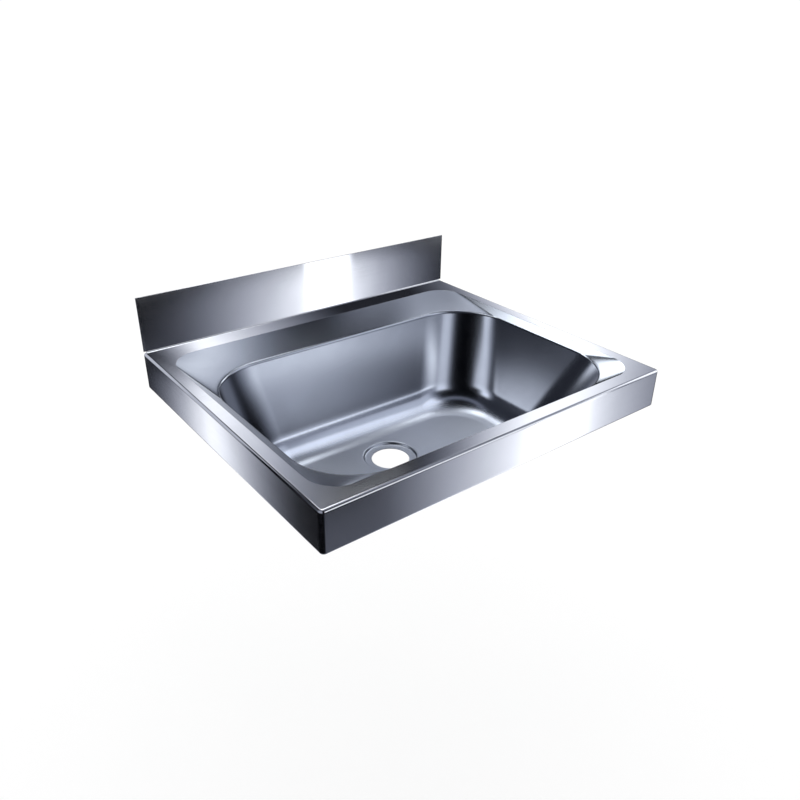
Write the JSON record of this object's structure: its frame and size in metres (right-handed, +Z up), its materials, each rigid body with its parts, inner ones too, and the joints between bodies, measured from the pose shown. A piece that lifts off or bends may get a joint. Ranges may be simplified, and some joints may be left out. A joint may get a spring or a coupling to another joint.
{
  "type": "hand wash basin",
  "caption": "Wall-hung stainless steel hand wash basin: folded deck with upstand and aprons round a drawn bowl with an open waste hole, on concealed wall brackets.",
  "frame": {"origin": "on the wall plane, at the middle of the four wall fixing holes", "axes": "+X to the right as seen from the front, +Y into the wall, +Z up; the front apron faces -Y"},
  "size_m": [0.5, 0.4262, 0.2287],
  "materials": {
    "stainless_sheet": "brushed",
    "stainless_pressing": "satin",
    "galvanised_steel": "galvanised",
    "stainless_fastener": "bright",
    "brass_fastener": "bright",
    "damping_pad": "matte"
  },
  "bodies": {
    "root": {"deck_panel": "stainless_sheet", "bowl": "stainless_pressing", "rear_stiffener": "stainless_sheet", "left_bracket_arm": "galvanised_steel", "right_bracket_arm": "galvanised_steel", "left_wall_plate": "galvanised_steel", "right_wall_plate": "galvanised_steel", "left_floor_pad": "damping_pad", "right_floor_pad": "damping_pad", "deck_studs": "stainless_fastener", "stud_washers": "stainless_fastener", "stud_nuts": "stainless_fastener", "earth_tag": "stainless_sheet", "earth_screw": "brass_fastener", "earth_washer": "brass_fastener", "earth_nut": "brass_fastener"}
  },
  "joints": []
}
